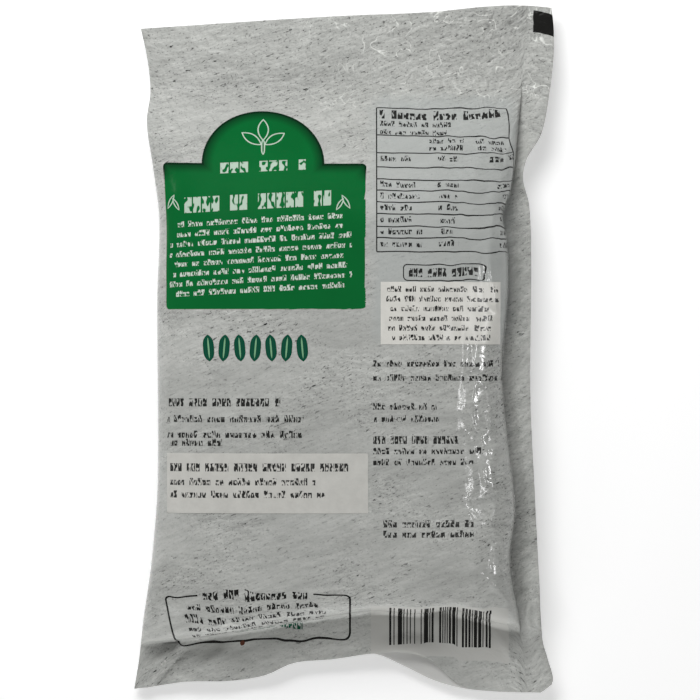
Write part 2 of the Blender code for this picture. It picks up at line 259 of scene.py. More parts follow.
# How the right shoulder's print is drawn together beyond a line.
SHRINK_START = 50.0
SHRINK_SHARE = 0.40

# Print on the film beside the panel, over a pale wash, and the stickers' print.
WASH = (11.6, 69.0, 3.0, 107.0, 6.0)
TABLE_LEFT, TABLE_RIGHT = 13.2, 65.4
TABLE_LINE = 0.25
TABLE_LEVELS = [101.2, 88.3, 80.4, 73.9, 68.6, 63.9, 58.9, 54.0, 48.9, 44.3, 38.9]
TABLE_WORDS = [
    (14.4, 100.2, 49.4, 6.0, 1.0, 4.2, 2.4, 0.001, 0.0, 51.0),
    (14.6, 95.0, 32.0, 3.9, 2.0, 2.4, 1.5, 0.25, 0.0, 53.0),
    (33.6, 87.4, 15.0, 3.4, 2.0, 2.3, 1.5, 0.1, 1.0, 55.0),
    (52.6, 87.2, 12.0, 3.4, 2.0, 2.3, 1.5, 0.1, 1.0, 57.0),
    (14.8, 79.2, 13.0, 4.90, 1.0, 2.5, 1.6, 0.3, 0.0, 58.0),
    (14.6, 67.8, 17.0, 4.90, 6.0, 2.5, 1.6, 0.4, 0.0, 59.0),
    (37.0, 79.2, 9.0, 4.90, 1.0, 2.5, 1.6, 0.1, 1.0, 60.0),
    (37.0, 67.8, 9.0, 4.90, 6.0, 2.5, 1.6, 0.4, 1.0, 61.0),
    (56.4, 79.2, 9.0, 4.90, 1.0, 2.5, 1.6, 0.1, 1.0, 62.0),
    (57.4, 67.8, 8.0, 4.90, 6.0, 2.5, 1.6, 0.4, 1.0, 63.0),
    (25.9, 32.2, 25.8, 6.0, 1.0, 3.3, 1.9, 0.0, 0.0, 65.0),
]
IMPORTER_WORDS = [(15.2, 25.2, 44.0, 3.85, 6.0, 2.3, 1.45, 0.28, 1.0, 71.0)]
COOKING_WORDS = [
    (-70.0, -45.2, 73.0, 6.0, 1.0, 3.2, 1.9, 0.0, 0.0, 81.0),
    (-70.0, -51.0, 66.0, 5.0, 2.0, 2.9, 1.75, 0.12, 0.0, 83.0),
]

# The stickers on the film, as left, right, bottom and top, in metres.
IMPORTER_SIDES = (0.0148, 0.0622, 0.0020, 0.0268)
COOKING_SIDES = (-0.0700, 0.0098, -0.0650, -0.0412)

CAMERA_PLACE = (0.0026, -0.0002, 2.6)
SENSOR = 36.0
FIELD = 0.280
FLOOR_SIZE = 6
FLOOR_DROP = 0.0002

# Lights, as name, place, width, length, power and whether they are only mirrored in the bag.
LIGHTS = [
    ("key", (-0.18, 0.50, 0.62), 0.5, 0.4, 5.1, False),
    ("foot fill", (-0.05, -0.80, 0.11), 0.6, 0.16, 3.0, False),
    ("right strip", (0.95, -0.055, 0.75), 0.10, 0.08, 2.6, True),
    ("top window", (1.05, -0.16, 2.0), 0.30, 0.12, 6.0, True),
]
SIDE_WINDOW = (1.0, 0.4, 3.4, True)
SIDE_WINDOWS = 4
WINDOW_REACH = 1.7
WINDOW_HEIGHT = 0.85
WORLD_STRENGTH = 0.25


def curve_at(points, place):
    """Height of a smooth curve through (place, height) points, level beyond its ends."""
    if place <= points[0][0]:
        return points[0][1]
    if place >= points[-1][0]:
        return points[-1][1]
    last = len(points) - 1
    k = max(i for i in range(last) if points[i][0] <= place)

    def slope(i):
        low, high = points[max(i - 1, 0)], points[min(i + 1, last)]
        return (high[1] - low[1]) / (high[0] - low[0])

    (x0, y0), (x1, y1) = points[k], points[k + 1]
    span = x1 - x0
    t = (place - x0) / span
    return (y0 * (1 + 2 * t) * (1 - t) ** 2 + y1 * t * t * (3 - 2 * t)
            + slope(k) * span * t * (1 - t) ** 2 - slope(k + 1) * span * t * t * (1 - t))


def shoulder(distance, reach, squareness):
    """Share of full height at a distance in from an edge: a superellipse quarter."""
    if distance <= 0:
        return 0.0
    if distance >= reach:
        return 1.0
    return (1 - (1 - distance / reach) ** squareness) ** (1 / squareness)


def across(x, y, left_power, right_power):
    """Share of full height across the body, from the left fold to the ledge."""
    left, ledge = curve_at(LEFT_SIDE, y), curve_at(LEDGE, y)
    half = (ledge - left) / 2
    return min(shoulder(x - left, half, left_power), shoulder(ledge - x, half, right_power))


def along(x, y):
    """Share of full height along the body, from its foot to its head."""
    foot = shoulder(y - curve_at(FILL_FOOT, x), FOOT_REACH, FOOT_SQUARENESS)
    head = smooth_step((curve_at(FILL_HEAD, x) - y) / HEAD_REACH) ** HEAD_FULLNESS
    return min(foot, head)


def smooth_step(t):
    t = min(max(t, 0.0), 1.0)
    return t * t * (3 - 2 * t)


def seam(x, y):
    """Height of the surface in which the two layers meet."""
    ledge, right = curve_at(LEDGE, y), curve_at(RIGHT_SIDE, y)
    return curve_at(SEAM_PROFILE, y) + FLANGE_LIFT * smooth_step((x - ledge) / (right - ledge))


def lip_curl(x, y):
    """How far the back layer's loose lip stands off the front layer's."""
    down = smooth_step((LIP_CURL_START - y) / (LIP_CURL_START - LIP_CURL_END))
    return LIP_CURL * down * math.exp(-((x - LIP_CURL_PLACE) / LIP_CURL_WIDTH) ** 2)


def back_rise(x, y):
    """Height of the back layer above the seam surface."""
    bulge = (BODY_TOP - FILM / 2 - SEAM_HEIGHT - LAYER) * along(x, y)
    return bulge * across(x, y, LEFT_SQUARENESS, RIGHT_SQUARENESS) + lip_curl(x, y)


def front_drop(x, y):
    """Depth of the front layer below the seam surface, before the floor stops it."""
    press = (SEAM_HEIGHT + FLOOR_PRESS) * along(x, y)
    return press * across(x, y, FLOOR_SQUARENESS, FLOOR_SQUARENESS)


def column_place(column, left, ledge, right):
    """x of a column, and its share of the layer's distance from the seam surface."""
    if column <= FOLD_COLUMNS:
        turn = math.pi / 2 * column / FOLD_COLUMNS
        return left + LAYER * (1 - math.cos(turn)), math.sin(turn)
    start = left + LAYER
    step = column - FOLD_COLUMNS
    if step <= BODY_COLUMNS:
        middle, half = (start + ledge) / 2, (ledge - start) / 2
        turn = math.pi * step / BODY_COLUMNS
        side = math.copysign(abs(math.cos(turn)) ** SIDE_CROWDING, math.cos(turn))
        return middle - half * side, 1.0
    return ledge + (right - ledge) * (step - BODY_COLUMNS) / FLANGE_COLUMNS, 1.0


def row_places(x, bottom_end):
    """y of each row at x, from the bag's bottom end up. One row runs along the foot of the
    filling, and one along its head."""
    foot, head = curve_at(FILL_FOOT, x), curve_at(FILL_HEAD, x)
    bottom, top = curve_at(bottom_end, x), curve_at(TOP_END, x)
    lip = [bottom + (foot - bottom) * k / LIP_ROWS for k in range(LIP_ROWS)]
    wall = [foot + (MIDDLE_START - foot) * (k / FOOT_ROWS) ** WALL_CROWDING
            for k in range(FOOT_ROWS)]
    middle = [MIDDLE_START + (MIDDLE_END - MIDDLE_START) * k / MIDDLE_ROWS
              for k in range(MIDDLE_ROWS)]
    slope = [MIDDLE_END + (head - MIDDLE_END) * k / HEAD_ROWS for k in range(HEAD_ROWS)]
    header = [head + (top - head) * k / HEADER_ROWS for k in range(HEADER_ROWS + 1)]
    return lip + wall + middle + slope + header


def web_point(column, row):
    """Place of a web vertex. Columns run from the front's right edge, over the fold, to the
    back's right edge."""
    outwards = column - LAYER_COLUMNS
    is_back = outwards > 0
    bottom_end = BACK_BOTTOM_END if is_back else BOTTOM_END
    rough_x, _ = column_place(abs(outwards), *NOMINAL_EDGES)
    y = row_places(rough_x, bottom_end)[row]
    x, share = column_place(abs(outwards), curve_at(LEFT_SIDE, y), curve_at(LEDGE, y),
                            curve_at(RIGHT_SIDE, y))
    if is_back:
        z = seam(x, y) + LAYER * share + back_rise(x, y)
    else:
        z = max(seam(x, y) - LAYER * share - front_drop(x, y), FILM / 2)
    return x, y, z


def hills(x, y, size_x, size_y, seed):
    """Soft noise from about -0.5 to 0.5, with hills of the given sizes."""
    return noise.noise(Vector((x / size_x, y / size_y, seed)))


def all_hills(x, y, layers):
    """The sum of some layers of soft noise."""
    return sum(height * hills(x, y, *sizes) for height, *sizes in layers)


def creases(x, y, size_x, size_y, seed):
    """Sharp ridges of height 1 on a flat ground, along lines where soft noise is zero."""
    return max(0.0, 1 - 5 * abs(hills(x, y, size_x, size_y, seed))) ** 2


def turned(x, y, degrees):
    angle = math.radians(degrees)
    return (x * math.cos(angle) + y * math.sin(angle), y * math.cos(angle) - x * math.sin(angle))


def fold_height(x, y, fold):
    """Height of a listed fold: a ridge, or a groove where its height is negative."""
    x0, y0, x1, y1, width, height = fold
    along_x, along_y = x1 - x0, y1 - y0
    length = math.hypot(along_x, along_y)
    t = ((x - x0) * along_x + (y - y0) * along_y) / length ** 2
    t_near = min(max(t, 0.0), 1.0)
    away = math.hypot(x - x0 - t_near * along_x, y - y0 - t_near * along_y)
    if away > 4 * width:
        return 0.0
    if t_near in (0.0, 1.0):
        return height * FOLD_TIP * math.exp(-(away / width) ** 2 - away / width)
    arc = math.sin(math.pi * min(max(t_near, 0.06), 0.94)) ** 0.5
    return height * (FOLD_END + (1 - FOLD_END) * arc) * math.exp(-away / width)


def end_weight(x, y):
    """1 on the flat header and on the lip, 0 on the body."""
    head = smooth_step((y - HEADER_START) / HEADER_GROWTH)
    lip = smooth_step((LIP_START - y) / LIP_GROWTH)
    return max(head, lip)


def seal_relief(x, y):
    """Waves and creases that both welded layers share, on the header, lip and flange."""
    ledge = curve_at(LEDGE, y)
    flange = smooth_step((x - ledge) / FLANGE_GROWTH)
    weight = max(end_weight(x, y), flange)
    if weight == 0:
        return 0.0
    a, b = turned(x, y, SEAL_CREASE_DEGREES)
    height = all_hills(x, y, SEAL_HILLS)
    height += (0.0007 * creases(a, b, 0.020, 0.045, 8.3)
               - 0.0005 * creases(b, a, 0.016, 0.060, 2.9))
    height += 0.0008 * flange * hills(x, y, 0.050, 0.013, 4.4)
    height -= (GROOVE_DEPTH * (1 - end_weight(x, y))
               * math.exp(-((x - ledge - GROOVE_PLACE) / GROOVE_WIDTH) ** 2))
    height += sum(fold_height(x, y, fold) for fold in SEAL_FOLDS)
    return weight * height


def skin_relief(x, y):
    """Dents and creases of the filled back only."""
    body = min(1.0, RELIEF_GROWTH * across(x, y, 2.0, 2.0) * along(x, y))
    if body == 0:
        return 0.0
    ledge, left = curve_at(LEDGE, y), curve_at(LEFT_SIDE, y)
    right_side = smooth_step(1 - (ledge - x) / RIGHT_BORDER)
    left_side = smooth_step(1 - (x - left) / LEFT_BORDER)
    foot = smooth_step(1 - (y - curve_at(FILL_FOOT, x)) / FOOT_BORDER)
    head = smooth_step(1 - (curve_at(FILL_HEAD, x) - y) / HEAD_BORDER)
    height = all_hills(x, y, SKIN_HILLS)
    a, b = turned(x, y, SKIN_CREASE_DEGREES)
    height += right_side * (0.0009 * creases(a, b, 0.016, 0.060, 6.1)
                            - 0.0006 * creases(x, y, 0.011, 0.024, 2.2)
                            + 0.0004 * hills(x, y, 0.007, 0.016, 7.5))
    height += left_side * 0.0006 * hills(x, y, 0.030, 0.010, 5.1)
    height += (foot + 0.7 * head) * (0.0008 * creases(x, y, 0.017, 0.034, 3.3)
                                     + 0.0009 * hills(x, y, 0.012, 0.024, 6.6))
    height += sum(fold_height(x, y, fold) for fold in SKIN_FOLDS)
    return body * height


def film_point(column, row):
    """A point of the film's middle surface, with its dents and creases."""
    x, y, z = web_point(column, row)
    lift = seal_relief(x, y)
    if column > LAYER_COLUMNS:
        return x, y, z + lift + skin_relief(x, y)
    share = min(1.0, RELIEF_GROWTH * front_drop(x, y) / SEAM_HEIGHT)
    under = 0.0004 * hills(x, y, 0.016, 0.030, 2.8) * share
    floor = FILM / 2 + FLOOR_GAP
    return x, y, max(z + lift + (under if z > 2 * FILM else 0.0), floor)


def flat_step(a, b):
    """How far apart two neighbours across the web are on the flat web. The middle is measured
    straight across, so that its print doesn't shear where the rows bend."""
    middle = (a.x + b.x) / 2
    is_middle = FLAT_MIDDLE[0] < middle < FLAT_MIDDLE[1]
    return abs(b.x - a.x) if is_middle else (b - a).length


def web_places():
    """Every point of the web, by column and row, and its place on the flat web in metres."""
    last_column, last_row = 2 * LAYER_COLUMNS, ROWS
    points = [[Vector(film_point(c, r)) for r in range(last_row + 1)]
              for c in range(last_column + 1)]
    middle_row = LIP_ROWS + FOOT_ROWS + MIDDLE_ROWS // 2
    centre = min(range(LAYER_COLUMNS, last_column),
                 key=lambda c: abs(points[c][middle_row].x))
    flat = [[[0.0, 0.0] for _ in range(last_row + 1)] for _ in range(last_column + 1)]
    for r in range(last_row + 1):
        flat[centre][r][0] = points[centre][r].x
        for c in range(centre + 1, last_column + 1):
            flat[c][r][0] = flat[c - 1][r][0] + flat_step(points[c - 1][r], points[c][r])
        for c in range(centre - 1, -1, -1):
            flat[c][r][0] = flat[c + 1][r][0] - flat_step(points[c][r], points[c + 1][r])
    for c in range(last_column + 1):
        flat[c][middle_row][1] = points[c][middle_row].y
        for r in range(middle_row + 1, last_row + 1):
            flat[c][r][1] = flat[c][r - 1][1] + (points[c][r] - points[c][r - 1]).length
        for r in range(middle_row - 1, -1, -1):
            flat[c][r][1] = flat[c][r + 1][1] - (points[c][r] - points[c][r + 1]).length
    return points, flat


def make_web():
    """The film's middle surface, with the flat web's place as its UV."""
    points, flat = web_places()
    sheet = bmesh.new()
    bmesh.ops.create_grid(sheet, x_segments=2 * LAYER_COLUMNS, y_segments=ROWS, size=1)
    uv = sheet.loops.layers.uv.new(FLAT_WEB)
    places = {}
    for vert in sheet.verts:
        column = round((vert.co.x + 1) * LAYER_COLUMNS)
        row = round((vert.co.y + 1) / 2 * ROWS)
        vert.co = points[column][row]
        places[vert] = flat[column][row]
    for face in sheet.faces:
        face.smooth = True
        for loop in face.loops:
            loop[uv].uv = [UV_PER_METRE * place for place in places[loop.vert]]
        place = sum(places[vert][0] for vert in face.verts) / len(face.verts)
        face.material_index = sum(place < border for border in PRINT_BORDERS) * 2
    sheet.normal_update()
    return sheet


def add_piece(name, sheet, materials, thickness):
    """A piece made from a middle surface, with a second material inside and at its edges."""
    mesh = bpy.data.meshes.new(name)
    sheet.to_mesh(mesh)
    for each in materials:
        mesh.materials.append(each)
    piece = bpy.data.objects.new(name, mesh)
    bpy.context.scene.collection.objects.link(piece)
    shell = piece.modifiers.new("Thickness", "SOLIDIFY")
    shell.thickness = thickness
    shell.offset = 0.0
    shell.use_even_offset = False
    shell.material_offset = 1
    shell.material_offset_rim = 1
    piece.modifiers.new("Even shading", "WEIGHTED_NORMAL")
    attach(piece, "root")
    return piece


def make_sticker(name, node, sides, sheet, material):
    """A sticker cut out of the back's own surface and lifted off it."""
    left, right, bottom, top = sides
    patch = sheet.copy()
    front = [face for face in patch.faces if face.normal.z < 0]
    bmesh.ops.delete(patch, geom=front, context="FACES")
    cuts = [((left, 0, 0), (-1, 0, 0)), ((right, 0, 0), (1, 0, 0)),
            ((0, bottom, 0), (0, -1, 0)), ((0, top, 0), (0, 1, 0))]
    for place, outwards in cuts:
        everything = patch.verts[:] + patch.edges[:] + patch.faces[:]
        bmesh.ops.bisect_plane(patch, geom=everything, plane_co=place, plane_no=outwards,
                               clear_outer=True)
    bmesh.ops.remove_doubles(patch, verts=patch.verts, dist=0.00005)
    patch.normal_update()
    for face in patch.faces:
        face.material_index = 0
    for vert in patch.verts:
        vert.co += vert.normal * LABEL_LIFT
    piece = add_piece(name, patch, [material, material], LABEL)
    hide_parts(node)


class Wires:
    """Short ways to add shader nodes and join them."""

    def __init__(self, tree):
        self.tree = tree

    def add(self, kind, **settings):
        node = self.tree.nodes.new(kind)
        for name, value in settings.items():
            setattr(node, name, value)
        return node

    def feed(self, socket, value):
        if isinstance(value, bpy.types.NodeSocket):
            self.tree.links.new(value, socket)
        else:
            socket.default_value = value

    def feed_all(self, node, values):
        """Feeds a node's first inputs in turn, and gives its first output."""
        for socket, value in zip(node.inputs, values):
            self.feed(socket, value)
        return node.outputs[0]

    def math(self, operation, *values):
        return self.feed_all(self.add("ShaderNodeMath", operation=operation), values)

    def chain(self, operation, first, others):
        result = first
        for value in others:
            result = self.math(operation, result, value)
        return result

    def total(self, first, *others):
        return self.chain("ADD", first, others)

    def product(self, first, *others):
        return self.chain("MULTIPLY", first, others)

    def minus(self, value, taken):
        return self.math("SUBTRACT", value, taken)

    def largest(self, values):
        """The largest of some masks. Each is joined as soon as it is made, because a shader
        that holds many values at once doesn't render."""
        return self.chain("MAXIMUM", 0.0, values)

    def centred(self, value):
        """A value from 0 to 1 moved to lie from -0.5 to 0.5."""
        return self.minus(value, 0.5)

    def vector(self, x, y, z=0.0):
        return self.feed_all(self.add("ShaderNodeCombineXYZ"), (x, y, z))

    def noise(self, place, scale, detail=2.0, roughness=0.5, warp=0.0):
        node = self.add("ShaderNodeTexNoise")
        self.feed(node.inputs["Vector"], place)
        node.inputs["Scale"].default_value = scale
        node.inputs["Detail"].default_value = detail
        node.inputs["Roughness"].default_value = roughness
        node.inputs["Distortion"].default_value = warp
        return node.outputs["Fac"]

    def grain(self, place, degrees, size_x, size_y, detail, roughness=0.5):
        """Noise with features of the given sizes, turned by an angle."""
        turn = self.add("ShaderNodeVectorRotate", rotation_type="Z_AXIS")
        self.feed(turn.inputs["Vector"], place)
        turn.inputs["Angle"].default_value = math.radians(-degrees)
        scale = self.add("ShaderNodeVectorMath", operation="MULTIPLY")
        self.feed(scale.inputs[0], turn.outputs[0])
        scale.inputs[1].default_value = (1 / size_x, 1 / size_y, 1.0)
        return self.noise(scale.outputs[0], 1.0, detail, roughness)

    def random(self, place):
        node = self.add("ShaderNodeTexWhiteNoise", noise_dimensions="3D")
        self.feed(node.inputs["Vector"], place)
        return node.outputs["Value"]

    def mix(self, share, low, high):
        """A mix of two colours. A Mix node's colours are its inputs 6 and 7 and output 2."""
        node = self.add("ShaderNodeMix", data_type="RGBA")
        self.feed(node.inputs[0], share)
        self.feed(node.inputs[6], low)
        self.feed(node.inputs[7], high)
        return node.outputs[2]

    def ramp(self, value, start, end):
        """0 where a value is at the start, 1 at the end, and straight between them."""
        node = self.add("ShaderNodeMapRange", clamp=True)
        return self.feed_all(node, (value, start, end, 0.0, 1.0))

    def call(self, group, *values):
        return self.feed_all(self.add("ShaderNodeGroup", node_tree=group), values)


def new_group(name, inputs, output):
    tree = bpy.data.node_groups.new(name, "ShaderNodeTree")
    for each in inputs:
        tree.interface.new_socket(each, in_out="INPUT", socket_type="NodeSocketFloat")
    tree.interface.new_socket(output, in_out="OUTPUT", socket_type="NodeSocketFloat")
    wires = Wires(tree)
    given = wires.add("NodeGroupInput").outputs[:len(inputs)]
    given_out = wires.add("NodeGroupOutput").inputs[0]
    return tree, wires, given, given_out


def rounded_box_group():
    """Distance from a rounded box's edge, negative inside."""
    names = ["U", "V", "Left", "Right", "Bottom", "Top", "Radius"]
    tree, w, given, out = new_group("Rounded box", names, "Distance")
    u, v, left, right, bottom, top, radius = given

    def beyond(place, low, high):
        middle = w.product(w.total(low, high), 0.5)
        half = w.product(w.minus(high, low), 0.5)
        away = w.math("ABSOLUTE", w.minus(place, middle))
        return w.total(w.minus(away, half), radius)

    across_u, across_v = beyond(u, left, right), beyond(v, bottom, top)
    outside_u, outside_v = w.math("MAXIMUM", across_u, 0.0), w.math("MAXIMUM", across_v, 0.0)
    corner = w.math("SQRT", w.total(w.product(outside_u, outside_u),
                                    w.product(outside_v, outside_v)))
    inside = w.math("MINIMUM", w.math("MAXIMUM", across_u, across_v), 0.0)
    w.feed(out, w.minus(w.total(corner, inside), radius))
    return tree


def box_group():
    """1 inside a box, 0 outside."""
    names = ["U", "V", "Left", "Right", "Bottom", "Top"]
    tree, w, (u, v, left, right, bottom, top), out = new_group("Box", names, "Mask")
    w.feed(out, w.product(w.math("GREATER_THAN", u, left), w.math("LESS_THAN", u, right),
                          w.math("GREATER_THAN", v, bottom), w.math("LESS_THAN", v, top)))
    return tree


def spindle_group():
    """1 inside a leaf or gourd shape at a place and angle. A higher power gives blunter ends."""
    names = ["U", "V", "Centre U", "Centre V", "Degrees", "Half length", "Half width", "Power"]
    tree, w, given, out = new_group("Spindle", names, "Mask")
    u, v, centre_u, centre_v, degrees, half, width, power = given
    angle = w.math("RADIANS", degrees)
    sine, cosine = w.math("SINE", angle), w.math("COSINE", angle)
    du, dv = w.minus(u, centre_u), w.minus(v, centre_v)
    lengthwise = w.total(w.product(du, cosine), w.product(dv, sine))
    sideways = w.minus(w.product(dv, cosine), w.product(du, sine))
    share = w.math("DIVIDE", w.math("ABSOLUTE", lengthwise), half)
    taper = w.minus(1.0, w.math("POWER", share, power))
    w.feed(out, w.math("LESS_THAN", w.math("ABSOLUTE", sideways), w.product(taper, width)))
    return tree


def words_group():
    """Rows of small meaningless marks, in word-like runs, where the photo has print. Ragged
    blocks are small print, with low marks between tall ones, and the others are bolder."""
    names = ["U", "V", "Left", "Top", "Width", "Pitch", "Rows", "Height", "Letter", "Ragged",
             "Centred", "Seed"]
    tree, w, given, out = new_group("Words", names, "Mask")
    u, v, left, top, width, pitch, rows, height, letter, ragged, centred, seed = given
    down = w.math("DIVIDE", w.minus(top, v), pitch)
    row = w.math("FLOOR", down)
    within = w.math("DIVIDE", w.product(w.math("FRACT", down), pitch), height)
    in_rows = w.product(w.math("GREATER_THAN", down, 0.0), w.math("LESS_THAN", row, rows),
                        w.math("LESS_THAN", within, 1.0))

    shortfall = w.product(w.random(w.vector(row, seed, 0.3)), ragged, width)
    line_width = w.minus(width, shortfall)
    inset = w.product(shortfall, centred, 0.5)
    place = w.minus(w.minus(u, left), inset)
    in_line = w.product(w.math("GREATER_THAN", place, 0.0),
                        w.math("LESS_THAN", place, line_width))

    cells = w.math("DIVIDE", place, letter)
    cell = w.math("FLOOR", cells)
    run = w.math("FLOOR", w.math("DIVIDE", cells, CELLS_IN_RUN))
    gap_in_run = w.product(w.random(w.vector(run, row, seed)), CELLS_IN_RUN - 2)
    gap_cell = w.math("FLOOR", w.total(w.product(run, CELLS_IN_RUN), w.total(gap_in_run, 1.0)))
    no_space = w.math("GREATER_THAN", w.math("ABSOLUTE", w.minus(cell, gap_cell)), 0.5)
    gap = w.math("LESS_THAN", w.math("FRACT", cells), MARK_WIDTH)

    small_print = w.math("GREATER_THAN", ragged, 0.0)
    is_low = w.math("GREATER_THAN", w.random(w.vector(seed, cell, row)), TALL_MARKS)
    below = w.math("GREATER_THAN", within, w.product(is_low, small_print, LOW_MARK_DROP))
    is_fine = w.math("GREATER_THAN", ragged, 0.01)
    strokes = w.total(BOLD_STROKES, w.product(is_fine, FINE_STROKES - BOLD_STROKES))
    stem_place = w.vector(w.product(cells, strokes), w.product(within, 2.0),
                          w.total(w.product(row, 7.7), seed))
    lightness = w.product(w.minus(is_fine, 1.0), BOLD_STEMS)
    stems = w.ramp(w.minus(w.noise(stem_place, 1.0, 0.0), lightness), *STEM_RAMP)
    w.feed(out, w.product(in_rows, in_line, no_space, gap, below, stems))
    return tree


def plaster_group():
    """Tone of the printed plaster background, about 1: rough patches with pits and trowel
    strokes, and smoother ones between them."""
    tree, w, (u, v), out = new_group("Printed plaster", ["U", "V"], "Tone")
    place = w.vector(u, v)
    rough = w.ramp(w.grain(place, *ROUGH_GRAIN), 0.43, 0.60)
    rough = w.math("MAXIMUM", rough, w.product(w.ramp(v, 92.0, 108.0), 0.8))
    share = w.total(SMOOTH_SHARE, w.product(rough, 1 - SMOOTH_SHARE))
    broad = w.centred(w.grain(place, *BROAD_GRAIN))
    strokes = w.centred(w.grain(place, *STROKE_GRAIN))
    steep = w.centred(w.grain(place, *STEEP_GRAIN))
    beside_flange = w.ramp(u, 68.0, 84.0)
    lit_place = w.vector(w.total(u, LIT_SHIFT[0]), w.total(v, LIT_SHIFT[1]))
    lit = w.minus(w.grain(place, *LIT_GRAIN), w.grain(lit_place, *LIT_GRAIN))
    pits = w.ramp(w.grain(place, *PIT_GRAIN), 0.61, 0.68)
    dots = w.ramp(w.grain(place, *DOT_GRAIN), 0.62, 0.70)
    scuffs = w.ramp(w.grain(place, *SCUFF_GRAIN), 0.57, 0.70)

    # Pale lines along the header's crinkles are painted highlights: glints of the glossy film
    # painted into the print's tone.
    on_header = w.product(w.ramp(v, 96.0, 108.0), w.ramp(u, -30.0, 10.0))
    crinkle = w.math("ABSOLUTE", w.centred(w.noise(place, 0.11, 2.0, 0.5, 0.8)))
    painted_glint_line = w.product(w.ramp(crinkle, 0.020, 0.0),
                          w.ramp(w.noise(place, 0.09, 1.0), 0.48, 0.62))
    light = w.total(1.0, w.product(broad, 0.72), w.product(painted_glint_line, on_header, 0.90),
                    w.product(strokes, 0.58), w.product(steep, beside_flange, 0.9),
                    w.product(lit, share, 1.7), w.product(scuffs, share, 0.14))
    pitted = w.minus(light, w.product(pits, share, 0.85))
    w.feed(out, w.minus(pitted, w.product(dots, share, 0.50)))
    return tree


def flat_place(w):
    """Sockets for the flat web's place, in millimetres."""
    uv = w.add("ShaderNodeUVMap", uv_map=FLAT_WEB)
    split = w.add("ShaderNodeSeparateXYZ")
    w.feed(split.inputs[0], uv.outputs[0])
    return [w.product(split.outputs[k], 1000 / UV_PER_METRE) for k in range(2)]


def new_material(name):
    made = bpy.data.materials.new(name)
    made.use_nodes = True
    w = Wires(made.node_tree)
    return made, w, made.node_tree.nodes["Principled BSDF"]


def tinted(w, tone, colour):
    """A colour multiplied by a grey tone."""
    node = w.add("ShaderNodeVectorMath", operation="SCALE")
    node.inputs[0].default_value = colour
    w.feed(node.inputs["Scale"], tone)
    return node.outputs[0]


def crinkle_bump(w, shader, u, v, strength):
    """Fine film crinkles as a bump, strongest on the header and along the right shoulder."""
    place = w.vector(u, v)
    ridges = w.math("ABSOLUTE", w.centred(w.noise(place, 0.15, 2.0, 0.5, 0.8)))
    fine = w.grain(place, *CRINKLE_GRAIN)
    header = w.product(w.ramp(v, 84.0, 102.0), w.ramp(u, -40.0, 40.0))
    shoulder_band = w.product(w.ramp(u, 46.0, 60.0), SHOULDER_CRINKLE)
    share = w.total(BODY_CRINKLE, w.math("MAXIMUM", header, shoulder_band))
    bump = w.add("ShaderNodeBump")
    bump.inputs["Strength"].default_value = strength
    bump.inputs["Distance"].default_value = CRINKLE_HEIGHT
    w.feed(bump.inputs["Height"],
           w.product(w.total(w.product(ridges, 2.6), w.product(fine, 0.6)), share))
    w.feed(shader.inputs["Normal"], bump.outputs[0])


def shrunk_right(w, u, v):
    """The film's u with its right shoulder drawn together, where the photo shows the print
    puckered before it reaches the side wall."""
    beyond = w.math("MAXIMUM", w.minus(u, SHRINK_START), 0.0)
    on_body = w.product(w.ramp(v, -105.0, -80.0), w.ramp(v, 98.0, 60.0))
    return w.minus(u, w.product(beyond, on_body, SHRINK_SHARE))


def words(w, u, v, blocks):
    """All the word blocks of one colour as one mask."""
    return w.largest(w.call(WORDS, u, v, *block) for block in blocks)


def in_ink(w, mask, colour):
    """A colour with black print on it."""
    return w.mix(w.product(mask, INK_COVER), colour, INK)


def panel_distance(w, u, v, place):
    """Distance from a panel's edge: a rounded box with a plain round arch on top."""
    left, right, bottom, shoulder_v, arch_u, arch_radius = place
    body = w.call(ROUNDED_BOX, u, v, left, right, bottom, shoulder_v, PANEL_CORNER)
    away = w.math("SQRT", w.total(w.math("POWER", w.minus(u, arch_u), 2.0),
                                  w.math("POWER", w.minus(v, shoulder_v), 2.0)))
    return w.math("MINIMUM", body, w.minus(away, arch_radius))


def line_at(w, distance, half_width):
    """A line that follows an edge."""
    return w.math("LESS_THAN", w.math("ABSOLUTE", distance), half_width)


def film_ground(w, u, v):
    """The film's plaster print, with the pale wash on which the table is printed."""
    colour = tinted(w, w.call(PLASTER, u, v), PLASTER_COLOUR)
    soft_edge = w.product(w.centred(w.noise(w.vector(u, v), 0.16, 3.0)), 7.0)
    edge = w.total(w.call(ROUNDED_BOX, shrunk_right(w, u, v), v, *WASH), soft_edge)
    return w.mix(w.product(w.ramp(edge, 2.0, -2.5), WASH_COVER), colour, WASH_COLOUR)


def print_panel(w, u, v, place, colour):
    """A green panel with a dark rim along its top and a brushed lower right edge."""
    left, shoulder_v = place[0], place[3]
    edge = panel_distance(w, u, v, place)
    brushed = w.centred(w.grain(w.vector(u, v), *BRUSH_GRAIN))
    lower_right = w.product(w.ramp(w.minus(u, v), left + 14.0, left + 62.0), BRUSH_DEPTH)
    feathered = w.total(edge, w.product(brushed, lower_right))
    soft = w.noise(w.vector(u, v), 0.05, 3.0)
    green = tinted(w, w.total(0.86, w.product(soft, 0.28)), GREEN)
    upper = w.ramp(v, shoulder_v - 8.0, shoulder_v - 2.0)
    inner = w.mix(w.product(w.ramp(edge, -4.2, -0.6), upper), green, DEEP_GREEN)
    colour = w.mix(w.ramp(feathered, 0.12, -0.12), colour, inner)
    return w.mix(w.product(line_at(w, edge, PANEL_LINE), upper), colour, DARK_EDGE)


def leaf_outline(w, u, v, centre_u, centre_v, degrees, half, width, power):
    whole = w.call(SPINDLE, u, v, centre_u, centre_v, degrees, half, width, power)
    hollow = w.call(SPINDLE, u, v, centre_u, centre_v, degrees, half - 0.7, width - 0.5, power)
    return w.minus(whole, hollow)


